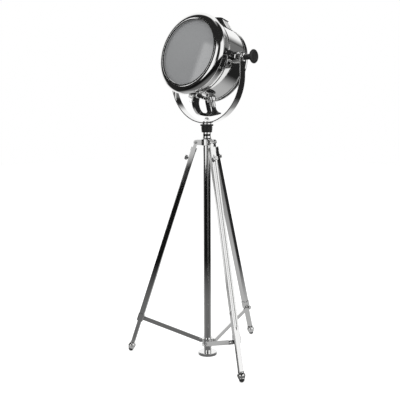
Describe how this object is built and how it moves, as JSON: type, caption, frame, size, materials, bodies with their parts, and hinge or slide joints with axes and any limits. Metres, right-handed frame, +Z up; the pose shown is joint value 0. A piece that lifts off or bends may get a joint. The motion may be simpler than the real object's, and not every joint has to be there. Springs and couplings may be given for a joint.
{
  "type": "tripod spotlight floor lamp",
  "caption": "Floor lamp with a round drum spotlight that tilts in a U-shaped yoke on a folding strutted tripod, with telescoping legs round a central column.",
  "frame": {"origin": "centre of the underside of the base disc, on the floor, on the column axis", "axes": "+Z up along the column; the lamp faces -Y with the yoke centred; the tilt axis runs along X"},
  "size_m": [0.7231, 0.6556, 1.6928],
  "materials": {
    "chrome": "mirror-polished nickel or chrome plate",
    "frosted_glass": "frosted, dull grey when unlit",
    "opal_glass": "opal, smooth",
    "black_plastic": "moulded, satin black",
    "black_rubber": "matt black rubber",
    "bright_aluminium": "spun, satin",
    "zinc_steel": "zinc-plated steel"
  },
  "bodies": {
    "stand": {"column_tube": "chrome", "base_disc": "chrome", "leg_hub": "chrome", "hub_bolts": "chrome", "hub_stem": "chrome", "stem_grip": "black_plastic"},
    "yoke": {"yoke": "chrome", "yoke_spindle": "chrome", "spindle_nut": "chrome", "pivot_washers": "chrome"},
    "head": {"drum": "chrome", "rear_cover": "chrome", "bezel": "chrome", "lens": "frosted_glass", "lens_gasket": "black_rubber", "reflector": "bright_aluminium", "bulb": "opal_glass", "lamp_socket": "black_plastic", "socket_bracket": "zinc_steel", "vent_hood": "chrome", "trunnion_right": "chrome", "trunnion_left": "chrome", "steering_handle": "chrome", "handle_clamp": "chrome", "head_screws": "chrome", "cable_gland": "zinc_steel"},
    "tilt_knob_right": {"tilt_knob_right": "black_plastic"},
    "tilt_knob_left": {"tilt_knob_left": "black_plastic"},
    "drum_knob": {"drum_neck": "chrome", "drum_knob": "black_plastic"},
    "collar": {"strut_collar": "chrome", "collar_bolts": "chrome"},
    "collar_screw": {"collar_screw": "chrome"},
    "leg_rear": {"leg_head_rear": "chrome", "leg_tube_rear": "chrome", "strut_clamp_rear": "chrome"},
    "foot_rear": {"leg_inner_rear": "chrome", "foot_rear": "chrome", "foot_pad_rear": "black_rubber"},
    "screw_rear": {"leg_screw_rear": "chrome"},
    "strut_rear": {"strut_rear": "chrome", "strut_bolt_rear": "chrome"},
    "leg_left": {"leg_head_left": "chrome", "leg_tube_left": "chrome", "strut_clamp_left": "chrome"},
    "foot_left": {"leg_inner_left": "chrome", "foot_left": "chrome", "foot_pad_left": "black_rubber"},
    "screw_left": {"leg_screw_left": "chrome"},
    "strut_left": {"strut_left": "chrome", "strut_bolt_left": "chrome"},
    "leg_right": {"leg_head_right": "chrome", "leg_tube_right": "chrome", "strut_clamp_right": "chrome"},
    "foot_right": {"leg_inner_right": "chrome", "foot_right": "chrome", "foot_pad_right": "black_rubber"},
    "screw_right": {"leg_screw_right": "chrome"},
    "strut_right": {"strut_right": "chrome", "strut_bolt_right": "chrome"}
  },
  "joints": [
    {"name": "pan", "type": "hinge", "parent": "stand", "child": "yoke", "pos_m": [0, 0, 1.166], "axis": [0, 0, 1], "range_deg": [-175, 175]},
    {"name": "tilt", "type": "hinge", "parent": "yoke", "child": "head", "pos_m": [0, 0, 1.473], "axis": [1, 0, 0], "range_deg": [-30, 45]},
    {"name": "tilt_knob_right_turn", "type": "hinge", "parent": "head", "child": "tilt_knob_right", "pos_m": [0.2495, 0, 1.473], "axis": [1, 0, 0], "continuous": true},
    {"name": "tilt_knob_left_turn", "type": "hinge", "parent": "head", "child": "tilt_knob_left", "pos_m": [-0.2495, 0, 1.473], "axis": [-1, 0, 0], "continuous": true},
    {"name": "drum_knob_turn", "type": "hinge", "parent": "head", "child": "drum_knob", "pos_m": [0.03126, 0.00043, 1.29059], "axis": [0.1621, 0.1338, -0.9777], "continuous": true},
    {"name": "leg_rear_fold", "type": "hinge", "parent": "stand", "child": "leg_rear", "pos_m": [-0.00379, 0.05286, 1.0775], "axis": [-0.9974, -0.0715, 0], "range_deg": [0, 16.9]},
    {"name": "leg_rear_extend", "type": "slide", "parent": "leg_rear", "child": "foot_rear", "axis": [-0.0222, 0.3099, -0.9505], "range_m": [0, 0.45]},
    {"name": "leg_rear_screw_turn", "type": "hinge", "parent": "foot_rear", "child": "screw_rear", "pos_m": [-0.00658, 0.09184, 0.99979], "axis": [-0.068, 0.9481, 0.3107], "continuous": true},
    {"name": "leg_left_fold", "type": "hinge", "parent": "stand", "child": "leg_left", "pos_m": [-0.04389, -0.02971, 1.0775], "axis": [0.5606, -0.8281, 0], "range_deg": [-0.2, 17.2]},
    {"name": "leg_left_extend", "type": "slide", "parent": "leg_left", "child": "foot_left", "axis": [-0.2573, -0.1742, -0.9505], "range_m": [0, 0.45]},
    {"name": "leg_left_screw_turn", "type": "hinge", "parent": "foot_left", "child": "screw_left", "pos_m": [-0.07624, -0.05162, 0.99979], "axis": [-0.7871, -0.5329, 0.3107], "continuous": true},
    {"name": "leg_right_fold", "type": "hinge", "parent": "stand", "child": "leg_right", "pos_m": [0.04768, -0.02315, 1.0775], "axis": [0.4368, 0.8996, 0], "range_deg": [-0.2, 17.2]},
    {"name": "leg_right_extend", "type": "slide", "parent": "leg_right", "child": "foot_right", "axis": [0.2795, -0.1357, -0.9505], "range_m": [0, 0.45]},
    {"name": "leg_right_screw_turn", "type": "hinge", "parent": "foot_right", "child": "screw_right", "pos_m": [0.08283, -0.04022, 0.99979], "axis": [0.855, -0.4152, 0.3107], "continuous": true},
    {"name": "collar_slide", "type": "slide", "parent": "stand", "child": "collar", "axis": [0, 0, 1], "range_m": [-0.001, 0.37821]},
    {"name": "strut_rear_swing", "type": "hinge", "parent": "collar", "child": "strut_rear", "pos_m": [0.01743, 0.03935, 0.066], "axis": [-0.9974, -0.0715, 0], "range_deg": [-0.5, 105.68]},
    {"name": "strut_left_swing", "type": "hinge", "parent": "collar", "child": "strut_left", "pos_m": [-0.04279, -0.00458, 0.066], "axis": [0.5606, -0.8281, 0], "range_deg": [-0.5, 105.68]},
    {"name": "strut_right_swing", "type": "hinge", "parent": "collar", "child": "strut_right", "pos_m": [0.02536, -0.03477, 0.066], "axis": [0.4368, 0.8996, 0], "range_deg": [-0.5, 105.68]},
    {"name": "collar_screw_turn", "type": "hinge", "parent": "collar", "child": "collar_screw", "pos_m": [0.02699, -0.0131, 0.0775], "axis": [0.8996, -0.4368, 0], "continuous": true}
  ],
  "couplings": [
    {"joint": "leg_left_fold", "follows": "leg_rear_fold", "ratio": 1},
    {"joint": "leg_right_fold", "follows": "leg_rear_fold", "ratio": 1},
    {"joint": "collar_slide", "follows": "leg_rear_fold", "m_per_rad": 1.2788},
    {"joint": "strut_rear_swing", "follows": "leg_rear_fold", "ratio": 6.2237},
    {"joint": "strut_left_swing", "follows": "leg_rear_fold", "ratio": 6.2237},
    {"joint": "strut_right_swing", "follows": "leg_rear_fold", "ratio": 6.2237}
  ]
}
